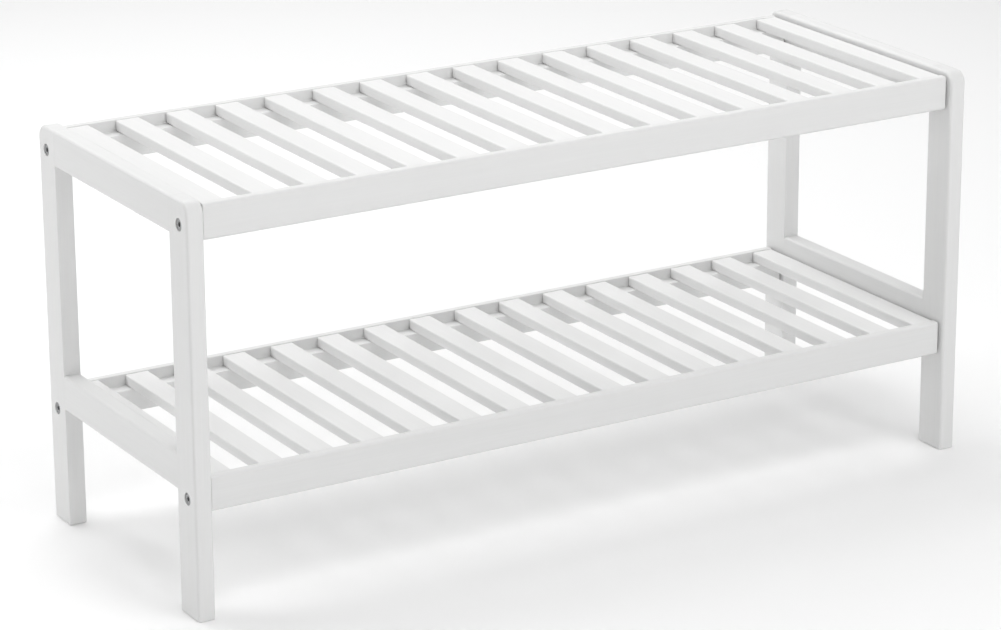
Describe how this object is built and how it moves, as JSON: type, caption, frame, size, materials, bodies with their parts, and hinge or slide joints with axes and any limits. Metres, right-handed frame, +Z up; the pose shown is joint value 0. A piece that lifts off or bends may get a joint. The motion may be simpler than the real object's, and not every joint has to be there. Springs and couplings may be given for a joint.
{
  "type": "entryway bench",
  "caption": "Low slatted bench in white painted wood: a slatted seat over a slatted shoe shelf, held between end frames with rounded top corners.",
  "frame": {"origin": "on the floor, at the middle of the footprint", "axes": "+X along the bench's length, +Y towards its back, +Z up"},
  "size_m": [0.988, 0.36, 0.457],
  "materials": {
    "frame_paint": "satin white paint over softwood legs and rails",
    "slat_paint": "satin white paint over softwood slats, with faint lengthwise grain",
    "screw_steel": "zinc-plated steel, dull grey"
  },
  "bodies": {
    "root": {"left_front_leg": "frame_paint", "left_rear_leg": "frame_paint", "left_top_end_rail": "frame_paint", "left_lower_end_rail": "frame_paint", "left_front_upper_screw": "screw_steel", "left_front_lower_screw": "screw_steel", "left_rear_upper_screw": "screw_steel", "left_rear_lower_screw": "screw_steel", "right_front_leg": "frame_paint", "right_rear_leg": "frame_paint", "right_top_end_rail": "frame_paint", "right_lower_end_rail": "frame_paint", "right_front_upper_screw": "screw_steel", "right_front_lower_screw": "screw_steel", "right_rear_upper_screw": "screw_steel", "right_rear_lower_screw": "screw_steel", "front_seat_rail": "frame_paint", "rear_seat_rail": "frame_paint", "seat_slat_01": "slat_paint", "seat_slat_02": "slat_paint", "seat_slat_03": "slat_paint", "seat_slat_04": "slat_paint", "seat_slat_05": "slat_paint", "seat_slat_06": "slat_paint", "seat_slat_07": "slat_paint", "seat_slat_08": "slat_paint", "seat_slat_09": "slat_paint", "seat_slat_10": "slat_paint", "seat_slat_11": "slat_paint", "seat_slat_12": "slat_paint", "seat_slat_13": "slat_paint", "seat_slat_14": "slat_paint", "seat_slat_15": "slat_paint", "seat_slat_16": "slat_paint", "front_shelf_rail": "frame_paint", "rear_shelf_rail": "frame_paint", "shelf_slat_01": "slat_paint", "shelf_slat_02": "slat_paint", "shelf_slat_03": "slat_paint", "shelf_slat_04": "slat_paint", "shelf_slat_05": "slat_paint", "shelf_slat_06": "slat_paint", "shelf_slat_07": "slat_paint", "shelf_slat_08": "slat_paint", "shelf_slat_09": "slat_paint", "shelf_slat_10": "slat_paint", "shelf_slat_11": "slat_paint", "shelf_slat_12": "slat_paint", "shelf_slat_13": "slat_paint", "shelf_slat_14": "slat_paint", "shelf_slat_15": "slat_paint", "shelf_slat_16": "slat_paint"}
  },
  "joints": []
}
